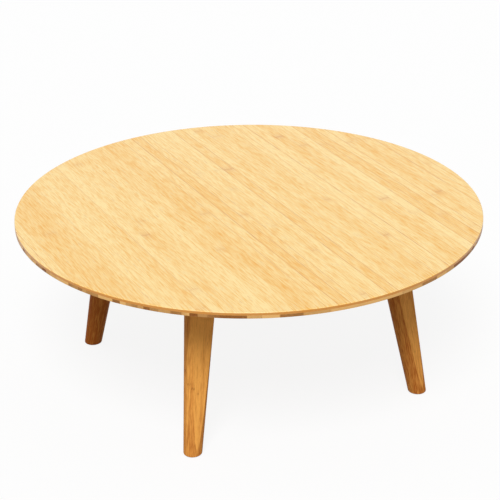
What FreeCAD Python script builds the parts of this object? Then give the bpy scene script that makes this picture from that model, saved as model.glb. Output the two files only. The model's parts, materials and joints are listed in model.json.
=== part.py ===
"""Low round folding table (chabudai) in laminated bamboo, lengths in millimetres.

X runs across the grain of the top, Y along it and Z up. The origin is on the floor under the centre of
the top. The front is -Y. Each leg stands at a corner of a square and folds inward along Y, flat under the
top, about the pin of a steel bracket. The front right and back left brackets are set askew, so that each
pair of legs lies side by side.
"""

import FreeCAD, Part
import math
import os

from FreeCAD import Vector

# Tabletop: three glued plies, the lowest one bevelled all round
top_diameter = 800.0
table_height = 314.0
face_ply_thickness = 5.0
core_ply_thickness = 5.0
back_ply_thickness = 5.0
rim_round = 1.5
bevel_width = 30.0

# Battens across the grain, which keep the top flat
batten_width = 40.0
batten_thickness = 16.0
batten_gap = 18.4
batten_end_inset = 50.5
batten_corner = 8.0
batten_edge = 2.0
batten_screw_inset = 30.0

# Legs: turned cones that lean outward along both X and Y, with one long flat on the outer side
leg_head_reach = 174.2
leg_foot_reach = 217.0
leg_head_radius = 27.0
leg_foot_radius = 15.4
leg_flat_depth = 16.0
leg_foot_round = 2.4
foot_pad_radius = 11.0
foot_pad_thickness = 1.0

# Leg head, cut to fit between the flanges of its channel
head_width = 40.0
head_length = 46.0
head_swing_radius = 20.5

# Hinge: its pin lies under the top and inward of the leg's axis. Two brackets are turned by the skew.
hinge_drop = 24.0
hinge_offset = 8.0
hinge_skew_degrees = 13.6
pin_radius = 4.0
pin_head_radius = 7.0
pin_head_height = 3.0
pin_tail_radius = 6.4
pin_tail_height = 2.2
washer_radius = 9.0
washer_thickness = 1.0

# Moving channel of sheet steel around the leg head
channel_thickness = 2.0
channel_length_below_pin = 23.0
channel_top_gap = 2.5
channel_stop_length = 8.0
channel_nose = 2.0
channel_bend = 2.4
channel_stop_gap = 0.3

# Fixed bracket of sheet steel, with two ears
bracket_thickness = 2.5
bracket_length = 76.0
tab_length = 16.5
tab_width = 84.0
tab_corner = 6.0
ear_width = 38.0
ear_bend = 3.0

# Spring latch on the outside of each ear: a leaf with a stud that snaps into the channel's flange
leaf_width = 8.0
leaf_thickness = 0.8
leaf_top = 19.0
leaf_bottom = -3.0
leaf_lip = 4.0
stud_radius = 2.2
stud_nose = 1.2
stud_inset = 1.4
stud_place_y = 13.5
stud_place_z = 3.0
rivet_place_z = 14.5
rivet_radius = 1.5
rivet_head_radius = 2.6
rivet_head_height = 1.0

# Countersunk wood screws with a crossed recess
screw_radius = 2.0
screw_head_radius = 4.0
screw_head_height = 2.0
screw_tip = 3.0
screw_bite = 8.5
leg_screw_bite = 13.0
leg_screw_spread = 22.0
leg_screw_pitch = 24.0
base_screw_inset = 8.0
recess_length = 4.4
recess_width = 0.9
recess_depth = 1.4

# Clearances, one overrun for every cut, and how closely two lengths match, as a share of a clearance
pin_clearance = 0.05
press_clearance = 0.02
side_clearance = 0.1
stud_clearance = 0.4
screw_clearance = 0.05
screw_hole_extra = 0.3
overrun = 60.0
match_share = 0.05

# Worked out from the sizes above
top_radius = top_diameter / 2
board_thickness = face_ply_thickness + core_ply_thickness + back_ply_thickness
underside = table_height - board_thickness
hinge_height = underside - hinge_drop
lean = (leg_foot_reach - leg_head_reach) / underside
bearing = hinge_drop - bracket_thickness
flange_face = head_width / 2 + channel_thickness
ear_face = flange_face + washer_thickness + 2 * side_clearance
ear_outside = ear_face + bracket_thickness
swing_radius = bearing - channel_stop_gap
flat_place = hinge_offset + leg_flat_depth
web_face = flat_place + channel_thickness

# For each leg, the side of the table it is made for at the front, whether its bracket is skewed, and
# whether it is then turned half a turn about the table's centre to stand at the back.
places = {
    "front_left": (-1, False, False),
    "front_right": (1, True, False),
    "back_right": (-1, False, True),
    "back_left": (1, True, True),
}

ORIGIN = Vector(0, 0, 0)
X = Vector(1, 0, 0)
Y = Vector(0, 1, 0)
Z = Vector(0, 0, 1)


def box(low, high):
    """Box between two opposite corners."""
    size = high - low
    return Part.makeBox(size.x, size.y, size.z, low)


def rod(radius, start, end):
    """Cylinder between two points."""
    along = end - start
    return Part.makeCylinder(radius, along.Length, start, along)


def taper(radius_start, radius_end, start, end):
    """Cone between two points."""
    along = end - start
    return Part.makeCone(radius_start, radius_end, along.Length, start, along)


def slab(outline, half_width):
    """Closed outline of (y, z) points and arcs, as a slab from -X to +X."""
    edges = []
    for start, middle, end in outline:
        a, c = Vector(-half_width, *start), Vector(-half_width, *end)
        if middle is None:
            edges.append(Part.LineSegment(a, c).toShape())
        else:
            edges.append(Part.Arc(a, Vector(-half_width, *middle), c).toShape())
    return Part.Face(Part.Wire(edges)).extrude(X * (2 * half_width))


def straight(points):
    """Outline for slab with straight sides through the points."""
    return [(p, None, q) for p, q in zip(points, points[1:] + points[:1])]


def edges_at(shape, test):
    """Edges of the shape whose ends and middle all pass the test."""
    found = []
    for edge in shape.Edges:
        first, last = edge.FirstParameter, edge.LastParameter
        if all(test(edge.valueAt(p)) for p in (first, (first + last) / 2, last)):
            found.append(edge)
    return found


def near(a, b):
    """Whether two lengths are the same within a small share of the smallest clearance."""
    return abs(a - b) < press_clearance * match_share


def write(name, shape):
    """Write one node, which holds one solid or a set of like solids."""
    shape.exportStep("parts/" + name + ".step")


# Frame of a bracket: origin on the hinge axis at mid head, X along the pin, Y inward, Z up


class Corner:
    """Where one leg stands, and how it leans in the frame of its bracket."""

    def __init__(self, name):
        side, skewed, turned = places[name]
        self.name = name
        self.skew = hinge_skew_degrees * skewed
        self.turn = math.degrees(math.pi) * turned
        across, inward = side * lean, -lean
        c, s = math.cos(math.radians(self.skew)), math.sin(math.radians(self.skew))
        self.lean_x = across * c + inward * s
        self.lean_y = inward * c - across * s
        self.tilt = math.atan(-self.lean_y)
        self.axis_y = -hinge_offset / math.cos(self.tilt)
        reach = leg_head_reach + lean * hinge_drop
        self.hinge = Vector(side * reach + self.axis_y * s, -reach - self.axis_y * c, hinge_height)

    def place(self, shape):
        """Move a shape from the bracket's frame to the table's."""
        moved = shape.copy()
        moved.rotate(ORIGIN, Z, self.skew)
        moved.translate(self.hinge)
        moved.rotate(ORIGIN, Z, self.turn)
        return moved

    def axis_at(self, z):
        """Point of the leg's axis at a height over the pin."""
        return Vector(-z * self.lean_x, self.axis_y - z * self.lean_y, z)

    def inward(self, w, s):
        """(y, z) of the point w inward of the pin and s down from it, square to the leg and along it."""
        c, n = math.cos(self.tilt), math.sin(self.tilt)
        return (w * c - s * n, -w * n - s * c)

    def level(self, w, z):
        """(y, z) where the line w inward of the pin and parallel to the leg reaches the height z."""
        c, n = math.cos(self.tilt), math.sin(self.tilt)
        return self.inward(w, (-z - w * n) / c)


# Screws and their holes


def screw(length):
    """Countersunk wood screw along +Z, its head flush at Z = 0, with a crossed recess."""
    tip_start = length - screw_tip
    body = taper(screw_head_radius, screw_radius, ORIGIN, Z * screw_head_height)
    body = body.fuse(rod(screw_radius, Z * screw_head_height, Z * tip_start))
    body = body.fuse(Part.makeCone(screw_radius, 0, screw_tip, Z * tip_start, Z))
    half, thin = recess_length / 2, recess_width / 2
    body = body.cut(box(Vector(-half, -thin, -recess_depth), Vector(half, thin, recess_depth)))
    body = body.cut(box(Vector(-thin, -half, -recess_depth), Vector(thin, half, recess_depth)))
    return body.removeSplitter()


def screw_hole(length):
    """Hole for such a screw, a little wider all round and a little deeper."""
    wide = screw_head_radius + screw_clearance
    narrow = screw_radius + screw_clearance
    head = taper(wide, narrow, ORIGIN, Z * screw_head_height)
    return head.fuse(rod(narrow, ORIGIN, Z * (length + screw_hole_extra)))


def base_screw_places():
    """Where the bracket's four screws enter it from below."""
    x = tab_width / 2 - base_screw_inset
    y = bracket_length / 2 - base_screw_inset
    return [Vector(i * x, j * y, bearing) for i in (-1, 1) for j in (-1, 1)]


def leg_screw_places(corner):
    """Where the leg's four screws enter the web of its channel."""
    x = leg_screw_spread / 2
    return [
        Vector(i * x, *corner.inward(-web_face, j * leg_screw_pitch / 2))
        for i in (-1, 1)
        for j in (-1, 1)
    ]


def at_places(shape, places_here):
    """Copies of a shape, one at each place, in one compound."""
    copies = []
    for place in places_here:
        moved = shape.copy()
        moved.translate(place)
        copies.append(moved)
    return Part.makeCompound(copies)


def turned_to_leg(shape, corner):
    """A shape along +Z, turned so that it points inward, square to the leg."""
    turned = shape.copy()
    turned.rotate(ORIGIN, X, -90 - math.degrees(corner.tilt))
    return turned


def batten_reach():
    """How far a batten's middle lies from the centre, a gap beyond the corner of a skewed bracket."""
    skew = math.radians(hinge_skew_degrees)
    corner = bracket_length / 2 * math.cos(skew) + tab_width / 2 * math.sin(skew)
    return corner - Corner("front_right").hinge.y + batten_gap + batten_width / 2


def batten_half_length():
    """Half of a batten, which stops short of the rim."""
    outer = batten_reach() + batten_width / 2
    return math.sqrt(top_radius**2 - outer**2) - batten_end_inset


def batten_screw_places(side):
    """Where the four evenly spaced screws of the front (-1) or back (1) batten enter it from below."""
    last = batten_half_length() - batten_screw_inset
    steps = [-last, -last / 3, last / 3, last]
    return [Vector(x, side * batten_reach(), underside - batten_thickness) for x in steps]


# Tabletop and battens


def face_ply():
    """Upper ply, its upper edge rounded."""
    low = table_height - face_ply_thickness
    disc = Part.makeCylinder(top_radius, face_ply_thickness, Z * low)
    rim = edges_at(disc, lambda p: near(p.z, table_height))
    return disc.makeFillet(rim_round, rim)


def core_ply(holes):
    """Middle ply, which shows on the lower half of the rim."""
    low = underside + back_ply_thickness
    return Part.makeCylinder(top_radius, core_ply_thickness, Z * low).cut(holes)


def back_ply(holes):
    """Lower ply, bevelled from the rim down to the underside."""
    disc = Part.makeCone(top_radius - bevel_width, top_radius, back_ply_thickness, Z * underside)
    return disc.cut(holes)


def batten(side):
    """One batten, with rounded corners and countersunk screw holes."""
    x, y = batten_half_length(), batten_width / 2
    centre = side * batten_reach()
    low = underside - batten_thickness
    bar = box(Vector(-x, centre - y, low), Vector(x, centre + y, underside))
    uprights = edges_at(bar, lambda p: near(abs(p.x), x) and near(abs(p.y - centre), y))
    bar = bar.makeFillet(batten_corner, uprights)
    bar = bar.makeFillet(batten_edge, edges_at(bar, lambda p: near(p.z, low)))
    hole = screw_hole(batten_thickness + screw_bite)
    return bar.cut(at_places(hole, batten_screw_places(side)))


# Leg, foot pad and channel


def leg_cone(corner):
    """The turned leg, longer than it needs to be at both ends."""
    high, low = corner.axis_at(hinge_drop), corner.axis_at(-hinge_height)
    along = low - high
    narrowing = (leg_head_radius - leg_foot_radius) / along.Length
    reach = along.normalize() * overrun
    extra = narrowing * overrun
    return taper(leg_head_radius + extra, leg_foot_radius - extra, high - reach, low + reach)


def leg(corner):
    """One leg, with its flat, its squared and rounded head, and its holes."""
    sole = foot_pad_thickness - hinge_height
    wide = leg_foot_reach + overrun
    body = leg_cone(corner).common(box(Vector(-wide, -wide, sole), Vector(wide, wide, bearing)))
    body = body.makeFillet(leg_foot_round, edges_at(body, lambda p: near(p.z, sole)))
    beyond = leg_head_radius + overrun
    past = beyond + flat_place
    outer = [corner.level(-flat_place, beyond), corner.level(-flat_place, -past - hinge_height)]
    outer += [corner.level(-past, -past - hinge_height), corner.level(-past, beyond)]
    body = body.cut(slab(straight(outer), wide))
    shoulder = bearing - head_length
    for side in (-1, 1):
        inner, outside = sorted((side * head_width / 2, side * beyond))
        body = body.cut(box(Vector(inner, -beyond, shoulder), Vector(outside, beyond, beyond)))
    corner_block = box(Vector(-beyond, 0, 0), Vector(beyond, beyond, beyond))
    body = body.cut(corner_block.cut(rod(head_swing_radius, X * -beyond, X * beyond)))
    body = body.cut(rod(pin_radius + pin_clearance, X * -beyond, X * beyond))
    hole = turned_to_leg(screw_hole(channel_thickness + leg_screw_bite), corner)
    return body.cut(at_places(hole, leg_screw_places(corner))).removeSplitter()


def foot_pad(corner):
    """Round felt pad under the foot."""
    centre = corner.axis_at(foot_pad_thickness - hinge_height)
    return rod(foot_pad_radius, centre - Z * foot_pad_thickness, centre)


def stud_holes(corner):
    """Holes in the flanges for the stud: one where it sits with the leg down, one with the leg folded."""
    stud = Vector(0, stud_place_y, stud_place_z)
    down = rod(stud_radius + stud_clearance, stud - X * overrun, stud + X * overrun)
    folded = down.copy()
    folded.rotate(ORIGIN, X, -90 - math.degrees(corner.tilt))
    return down.fuse(folded)


def leg_channel(corner):
    """Channel around the leg head: its web on the flat, its flanges on the cheeks.

    The inner edges of the flanges are the fold stop.
    """
    high = bearing - channel_top_gap
    start_angle = math.asin(high / swing_radius)
    middle_angle = (start_angle - corner.tilt) / 2
    arc_start = (swing_radius * math.cos(start_angle), high)
    arc_middle = (swing_radius * math.cos(middle_angle), swing_radius * math.sin(middle_angle))
    arc_end = corner.inward(swing_radius, 0)
    outer_top = corner.level(-web_face, high)
    outer_foot = corner.inward(-web_face, channel_length_below_pin)
    nose = corner.inward(channel_nose, channel_length_below_pin)
    stop_end = corner.inward(swing_radius, channel_stop_length)
    outline = [
        (outer_top, None, arc_start),
        (arc_start, arc_middle, arc_end),
        (arc_end, None, stop_end),
        (stop_end, None, nose),
        (nose, None, outer_foot),
        (outer_foot, None, outer_top),
    ]
    body = slab(outline, flange_face)

    def on_outer_corner(p):
        w = p.y * math.cos(corner.tilt) - p.z * math.sin(corner.tilt)
        return near(w, -web_face) and near(abs(p.x), flange_face)

    body = body.makeFillet(channel_bend, edges_at(body, on_outer_corner))
    inside = [corner.level(-flat_place, overrun), corner.level(overrun, overrun)]
    inside += [corner.level(overrun, -overrun), corner.level(-flat_place, -overrun)]
    body = body.cut(slab(straight(inside), head_width / 2))
    body = body.cut(rod(pin_radius + pin_clearance, X * -overrun, X * overrun))
    body = body.cut(stud_holes(corner))
    hole = turned_to_leg(screw_hole(channel_thickness + leg_screw_bite), corner)
    return body.cut(at_places(hole, leg_screw_places(corner)))


def channel_screws(corner):
    """Four wood screws through the web into the leg."""
    one = turned_to_leg(screw(channel_thickness + leg_screw_bite), corner)
    return at_places(one, leg_screw_places(corner))


# Bracket, pin, washers and latch


def bracket_base():
    """Fixed bracket: a screwed plate with wide tabs at both ends and two ears bent down between them."""
    half_ear, half_length = ear_width / 2, bracket_length / 2
    plate = box(Vector(-ear_outside, -half_ear, -half_ear), Vector(ear_outside, half_ear, hinge_drop))
    bends = edges_at(plate, lambda p: near(abs(p.x), ear_outside) and near(p.z, hinge_drop))
    plate = plate.makeFillet(ear_bend, bends)
    plate = plate.cut(box(Vector(-ear_face, -half_ear, -half_ear), Vector(ear_face, half_ear, bearing)))
    rounded = rod(half_ear, X * -ear_outside, X * ear_outside)
    upper = box(Vector(-ear_outside, -half_ear, 0), Vector(ear_outside, half_ear, hinge_drop))
    plate = plate.common(rounded.fuse(upper))
    strip = ear_face - bracket_thickness
    plate = plate.fuse(box(Vector(-strip, -half_length, bearing), Vector(strip, half_length, hinge_drop)))
    for side in (-1, 1):
        low, high = sorted((side * half_length, side * (half_length - tab_length)))
        tab = box(Vector(-tab_width / 2, low, bearing), Vector(tab_width / 2, high, hinge_drop))
        ends = edges_at(tab, lambda p: near(abs(p.x), tab_width / 2) and near(p.y, side * half_length))
        plate = plate.fuse(tab.makeFillet(tab_corner, ends))
    plate = plate.cut(rod(pin_radius + press_clearance, X * -overrun, X * overrun))
    stud = Vector(0, stud_place_y, stud_place_z)
    plate = plate.cut(rod(stud_radius + stud_clearance, stud - X * overrun, stud + X * overrun))
    rivet = Vector(0, stud_place_y, rivet_place_z)
    plate = plate.cut(rod(rivet_radius + press_clearance, rivet - X * overrun, rivet + X * overrun))
    plate = plate.cut(at_places(screw_hole(bracket_thickness + screw_bite), base_screw_places()))
    return plate.removeSplitter()


def dome(radius, height, centre, direction):
    """Cap of a ball on a flat circle."""
    ball = (radius * radius + height * height) / (2 * height)
    sphere = Part.makeSphere(ball, centre + direction * (height - ball))
    return sphere.common(rod(radius, centre, centre + direction * height))


def pivot_pin():
    """Pin through both ears, with a domed head on one side and a smaller closed head on the other."""
    pin = rod(pin_radius, X * -ear_outside, X * ear_outside)
    pin = pin.fuse(dome(pin_head_radius, pin_head_height, X * ear_outside, X))
    return pin.fuse(dome(pin_tail_radius, pin_tail_height, X * -ear_outside, -X))


def pivot_washers():
    """Two washers between the flanges and the ears."""
    rings = []
    for side in (-1, 1):
        start = X * (side * (flange_face + side_clearance))
        end = X * (side * (ear_face - side_clearance))
        rings.append(rod(washer_radius, start, end).cut(rod(pin_radius + pin_clearance, start, end)))
    return Part.makeCompound(rings)


def latch_spring():
    """Leaf on the +X ear, its lower end bent out as a finger lip, with a stud into the flange."""
    inner, outer = ear_outside, ear_outside + leaf_thickness
    slant = leaf_lip / math.sqrt(2)
    rise = leaf_thickness * (math.sqrt(2) - 1)
    path = [
        Vector(inner, 0, leaf_top),
        Vector(outer, 0, leaf_top),
        Vector(outer, 0, leaf_bottom + rise),
        Vector(outer + slant, 0, leaf_bottom + rise - slant),
        Vector(inner + slant, 0, leaf_bottom - slant),
        Vector(inner, 0, leaf_bottom),
    ]
    leaf = Part.Face(Part.makePolygon(path + path[:1])).extrude(Y * leaf_width)
    leaf.translate(Y * (stud_place_y - leaf_width / 2))

    def on_top_corner(p):
        return near(p.z, leaf_top) and near(abs(p.y - stud_place_y), leaf_width / 2)

    leaf = leaf.makeFillet(leaf_width / 4, edges_at(leaf, on_top_corner))
    rivet = Vector(inner, stud_place_y, rivet_place_z)
    leaf = leaf.cut(rod(rivet_radius + press_clearance, rivet - X * overrun, rivet + X * overrun))
    foot = Vector(inner, stud_place_y, stud_place_z)
    nose = foot - X * (inner - flange_face + stud_inset)
    stud = rod(stud_radius, foot, nose)
    stud = stud.makeFillet(stud_nose, edges_at(stud, lambda p: near(p.x, nose.x)))
    return leaf.fuse(stud)


def latch_rivet():
    """Rivet that holds the leaf on the +X ear, flush inside."""
    inner = Vector(ear_face, stud_place_y, rivet_place_z)
    outer = Vector(ear_outside + leaf_thickness, stud_place_y, rivet_place_z)
    return rod(rivet_radius, inner, outer).fuse(dome(rivet_head_radius, rivet_head_height, outer, X))


def both_ears(shape):
    """A piece of the +X ear and its mirror image on the other."""
    return Part.makeCompound([shape, shape.mirror(ORIGIN, X)])


def base_screws():
    """Four wood screws through the bracket's tabs into the top."""
    return at_places(screw(bracket_thickness + screw_bite), base_screw_places())


def build_leg(corner):
    """Write the pieces of one leg and its bracket."""
    pieces = {
        "leg": leg(corner),
        "foot_pad": foot_pad(corner),
        "leg_channel": leg_channel(corner),
        "channel_screws": channel_screws(corner),
        "bracket_base": bracket_base(),
        "base_screws": base_screws(),
        "pivot_pin": pivot_pin(),
        "pivot_washers": pivot_washers(),
        "latch_springs": both_ears(latch_spring()),
        "latch_rivets": both_ears(latch_rivet()),
    }
    for kind, shape in pieces.items():
        write(kind + "_" + corner.name, corner.place(shape))


def main():
    os.makedirs("parts", exist_ok=True)
    corners = [Corner(name) for name in places]
    hole = screw_hole(bracket_thickness + screw_bite)
    holes = [corner.place(at_places(hole, base_screw_places())) for corner in corners]
    batten_hole = screw_hole(batten_thickness + screw_bite)
    holes += [at_places(batten_hole, batten_screw_places(side)) for side in (-1, 1)]
    holes = Part.makeCompound(holes)
    write("face_ply", face_ply())
    write("core_ply", core_ply(holes))
    write("back_ply", back_ply(holes))
    for name, side in (("front", -1), ("back", 1)):
        write("batten_" + name, batten(side))
        screws = at_places(screw(batten_thickness + screw_bite), batten_screw_places(side))
        write("batten_screws_" + name, screws)
    for corner in corners:
        build_leg(corner)


main()
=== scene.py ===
import json
import math
from types import SimpleNamespace

import bpy
import numpy as np
from mathutils import Matrix, Vector


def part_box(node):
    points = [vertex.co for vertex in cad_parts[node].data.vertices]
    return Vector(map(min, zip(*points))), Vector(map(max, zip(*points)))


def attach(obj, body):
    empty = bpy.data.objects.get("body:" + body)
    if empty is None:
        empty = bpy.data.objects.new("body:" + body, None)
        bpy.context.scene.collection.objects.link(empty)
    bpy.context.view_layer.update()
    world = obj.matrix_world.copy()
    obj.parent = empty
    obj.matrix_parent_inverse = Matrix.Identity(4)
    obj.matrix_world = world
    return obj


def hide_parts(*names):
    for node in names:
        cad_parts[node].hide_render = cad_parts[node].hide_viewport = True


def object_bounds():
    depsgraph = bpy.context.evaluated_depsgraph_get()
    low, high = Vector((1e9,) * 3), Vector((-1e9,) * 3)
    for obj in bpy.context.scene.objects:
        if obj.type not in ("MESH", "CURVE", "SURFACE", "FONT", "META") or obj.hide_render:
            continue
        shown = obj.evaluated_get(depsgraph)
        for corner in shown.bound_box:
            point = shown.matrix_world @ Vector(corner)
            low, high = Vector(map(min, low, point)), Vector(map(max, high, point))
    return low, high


bl_info = {
    "name": "Folding low table",
    "version": (1, 0, 0),
    "blender": (4, 5, 0),
    "location": "3D View > Sidebar > Table",
    "description": "Dresses a round folding low table in laminated bamboo, steel, nylon and felt",
    "category": "Object",
}

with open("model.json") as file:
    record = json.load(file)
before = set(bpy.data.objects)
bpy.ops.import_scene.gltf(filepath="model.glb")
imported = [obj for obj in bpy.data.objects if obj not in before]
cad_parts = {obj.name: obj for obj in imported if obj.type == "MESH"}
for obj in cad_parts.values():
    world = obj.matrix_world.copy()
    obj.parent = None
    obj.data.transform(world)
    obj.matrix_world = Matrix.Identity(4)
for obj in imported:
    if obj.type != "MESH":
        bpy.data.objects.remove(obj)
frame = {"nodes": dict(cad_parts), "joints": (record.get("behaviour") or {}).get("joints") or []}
cad_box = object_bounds()
mm = 0.001

# The corners where the legs stand, each with its side of the two centre planes
corners = {
    "front_left": (-1, -1),
    "front_right": (1, -1),
    "back_right": (1, 1),
    "back_left": (-1, 1),
}


def linear(text):
    """An sRGB hex colour as linear red, green and blue."""
    part = np.array([int(text[i : i + 2], 16) for i in (1, 3, 5)]) / 255
    curve = ((part + 0.055) / 1.055) ** 2.4
    return tuple(np.where(part <= 0.04045, part / 12.92, curve).tolist())


def size(name, description, default):
    """A length for the sidebar, in metres."""
    return bpy.props.FloatProperty(
        name=name, description=description, default=default, unit="LENGTH", precision=5
    )


def colour(name, description, default):
    """A colour for the sidebar, written as sRGB hex."""
    return bpy.props.FloatVectorProperty(
        name=name, description=description, default=linear(default), subtype="COLOR", size=3
    )


def angle(name, description, degrees):
    """An angle for the sidebar, written in degrees."""
    return bpy.props.FloatProperty(
        name=name, description=description, default=math.radians(degrees), subtype="ANGLE"
    )


def amount(name, description, default):
    """A number without a unit for the sidebar."""
    return bpy.props.FloatProperty(name=name, description=description, default=default)


# Sizes, colours and settings that a user would change


class TopSizes(bpy.types.PropertyGroup):
    """Sizes of the three glued plies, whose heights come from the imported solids."""

    radius: size(
        "Radius", "From the centre of the top to its rim", min(*cad_box[1].xy, *-cad_box[0].xy)
    )
    rim_round: size("Rim rounding", "Radius of the rounded upper edge", 1.5 * mm)
    bevel_width: size("Bevel width", "How far the bevel reaches in under the rim", 30 * mm)
    glue_groove: size("Glue groove", "Depth of the fine groove where two plies meet", 0.15 * mm)
    face_strip: size("Face strip", "Mean width of a strip in the upper ply", 17 * mm)
    core_strip: size("Core strip", "Mean width of a strip in the middle ply", 10 * mm)
    back_strip: size(
        "Back strip", "Mean width of a strip in the lower ply and the battens", 18 * mm
    )


class LegSizes(bpy.types.PropertyGroup):
    """Sizes of the turned legs with one flat side."""

    head_reach: size(
        "Head reach", "From the centre along X and Y to the leg's axis under the top", 174.2 * mm
    )
    foot_reach: size(
        "Foot reach", "From the centre along X and Y to the leg's axis on the floor", 217 * mm
    )
    head_radius: size("Head radius", "Radius of the cone under the top", 27.0 * mm)
    foot_radius: size("Foot radius", "Radius of the cone at the floor", 15.4 * mm)
    flat_depth: size("Flat depth", "From the leg's axis to its flat", 16 * mm)
    head_width: size("Head width", "Between the two cheeks of the head", 40 * mm)
    head_length: size("Head length", "From the head's top to its shoulder", 46 * mm)
    head_drop: size("Head drop", "From the pin up to the head's top", 21.5 * mm)
    swing_radius: size(
        "Swing radius", "Rounding of the head's inner side about the pin", 20.5 * mm
    )
    foot_round: size("Foot rounding", "Radius of the rounded edge of the sole", 2.4 * mm)
    pin_radius: size("Pin hole radius", "Radius of the hole for the pin", 4.05 * mm)
    strip: size("Strip", "Mean width of a strip in a leg", 5.2 * mm)


class Colours(bpy.types.PropertyGroup):
    """Colours of the finishes."""

    face_light: colour("Face, light", "Palest strips of the upper ply", "#FFE29C")
    face_dark: colour("Face, dark", "Deepest strips of the upper ply", "#EDA60C")
    face_ring: colour("Face, rings", "Rings of the cane in the upper ply", "#CF8236")
    face_line: colour("Face, lines", "Glue lines and flecks of the upper ply", "#CE7A12")
    rim: colour("Rim", "Cut and lacquered edge of the upper ply", "#D3831F")
    core_light: colour("Core, light", "Palest strips of the middle ply", "#F0BC74")
    core_dark: colour("Core, dark", "Deepest strips of the middle ply", "#864A0E")
    core_ring: colour("Core, rings", "Rings of the cane in the middle ply", "#A9672B")
    core_line: colour("Core, lines", "Glue lines of the middle ply", "#A8682C")
    back_light: colour("Back, light", "Palest strips under the top", "#E8BC80")
    back_dark: colour("Back, dark", "Deepest strips under the top", "#C98F4C")
    back_ring: colour("Back, rings", "Rings of the cane under the top", "#A9672B")
    back_line: colour("Back, lines", "Glue lines under the top", "#A8682C")
    leg_light: colour("Leg, light", "Palest strips of the legs", "#FFB558")
    leg_dark: colour("Leg, dark", "Deepest strips of the legs", "#AE5E1F")
    leg_ring: colour("Leg, rings", "Rings of the cane in the legs", "#8A4412")
    leg_line: colour("Leg, lines", "Glue lines and flecks of the legs", "#93480F")
    zinc: colour("Zinc", "Plated sheet steel", "#C3C6C8")
    spring: colour("Spring steel", "Blued spring steel", "#4B535E")
    spring_tint: colour("Spring steel, tint", "Brown patches in the blueing", "#6B5A4C")
    brass_zinc: colour("Yellow zinc", "Plated screws", "#CDB377")
    brass_zinc_tint: colour("Yellow zinc, tint", "Green patches in the plating", "#A8A56B")
    nylon: colour("Nylon", "Washers", "#DEDBD0")
    felt: colour("Felt", "Foot pads", "#6E5B49")


class StageSettings(bpy.types.PropertyGroup):
    """Camera, light and floor."""

    distance: size("Camera distance", "From the middle of the top to the camera", 2.704)
    elevation: angle("Elevation", "Camera over the horizon", 23.42)
    turn: angle("Turn", "Camera to the left of the front", 26.9)
    roll: angle("Roll", "Tilt of the picture", -0.52)
    focal_share: amount("Focal share", "Focal length over picture width", 3.142)
    key: amount("Key", "Strength of the key light", 2.35)
    key_turn: angle("Key turn", "Key light to the left of the front", 34)
    key_height: angle("Key height", "Key light over the horizon", 50.5)
    key_spread: angle("Key spread", "Width of the key light, which softens shadows", 26)
    ambient: amount("Ambient", "Strength of the room's light", 0.42)
    floor: colour("Floor", "Paint of the floor", "#F4F4F4")
    floor_size: size("Floor size", "Side of the floor", 40.0)


# Meshes


def write_mesh(name, points, faces, body=None, slot=None, *nodes):
    """A piece from points and a list of face arrays.

    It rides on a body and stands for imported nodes. Without a body it is a cutter or the floor.
    """
    mesh = bpy.data.meshes.new(name)
    loops = np.concatenate([f.ravel() for f in faces])
    counts = np.concatenate([np.full(len(f), f.shape[1]) for f in faces])
    mesh.vertices.add(len(points))
    mesh.vertices.foreach_set("co", points.astype(np.float32).ravel())
    mesh.loops.add(len(loops))
    mesh.loops.foreach_set("vertex_index", loops.astype(np.int32))
    mesh.polygons.add(len(counts))
    mesh.polygons.foreach_set("loop_start", (np.cumsum(counts) - counts).astype(np.int32))
    mesh.polygons.foreach_set("loop_total", counts.astype(np.int32))
    mesh.update(calc_edges=True)
    if mesh.validate():
        raise RuntimeError(name + " has a faulty face")
    piece = bpy.data.objects.new(name, mesh)
    bpy.context.scene.collection.objects.link(piece)
    if body:
        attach(piece, body)
        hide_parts(*nodes)
    return piece


def closed_rings(rings, low, high):
    """Points and faces of a closed skin.

    Rings are rows by columns by 3. Each row closes on itself, counted anticlockwise seen from
    above, and the first and last rows close on the points low and high with a fan of triangles.
    """
    rows, columns = rings.shape[:2]
    points = np.concatenate([rings.reshape(-1, 3), [low], [high]])
    j = np.arange(columns)
    k = (j + 1) % columns
    i = np.arange(rows - 1)[:, None] * columns
    quads = np.stack([i + j, i + k, i + columns + k, i + columns + j], axis=-1).reshape(-1, 4)
    last = (rows - 1) * columns
    first_fan = np.stack([np.full(columns, rows * columns), k, j], axis=-1)
    last_fan = np.stack([last + j, last + k, np.full(columns, rows * columns + 1)], axis=-1)
    return points, [quads, first_fan, last_fan]


def smooth(piece, degrees):
    """Smooth shading, with a hard line wherever two faces meet at more than an angle."""
    piece.data.shade_smooth()
    piece.data.set_sharp_from_angle(angle=math.radians(degrees))


def turned_disc(name, profile, slot, node, columns=720):
    """A disc turned about the table's axis.

    The profile is (radius, height) from the axis below, out round the rim, and back to the axis
    above. A point at the angle t is (radius cos t, radius sin t, height).
    """
    profile = np.array(profile)
    t = np.linspace(0, 2 * np.pi, columns, endpoint=False)
    r, z = profile[1:-1, :1], profile[1:-1, 1:]
    rings = np.stack([r * np.cos(t), r * np.sin(t), z + 0 * t], axis=-1)
    low, high = (0, 0, profile[0, 1]), (0, 0, profile[-1, 1])
    piece = write_mesh(name, *closed_rings(rings, low, high), "tabletop", slot, node)
    smooth(piece, degrees=30)
    return piece


def ply_profile(low, high, low_radius, high_radius, edge):
    """(radius, height) points of a ply from the axis below, out round its edge, and back above.

    Between the axis and the edge, points stand at a few shares of the radius.
    """
    shares = (0, 0.1, 0.35, 0.65, 0.85)
    below = [(share * low_radius, low) for share in shares]
    above = [(share * high_radius, high) for share in reversed(shares)]
    return below + edge + above


def quarter(radius, centre_r, centre_z, steps=9):
    """(radius, height) points on a quarter circle about a centre, from its side up to its top."""
    a = np.radians(np.linspace(0, 90, steps))
    return [(centre_r + radius * math.cos(x), centre_z + radius * math.sin(x)) for x in a]


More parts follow.
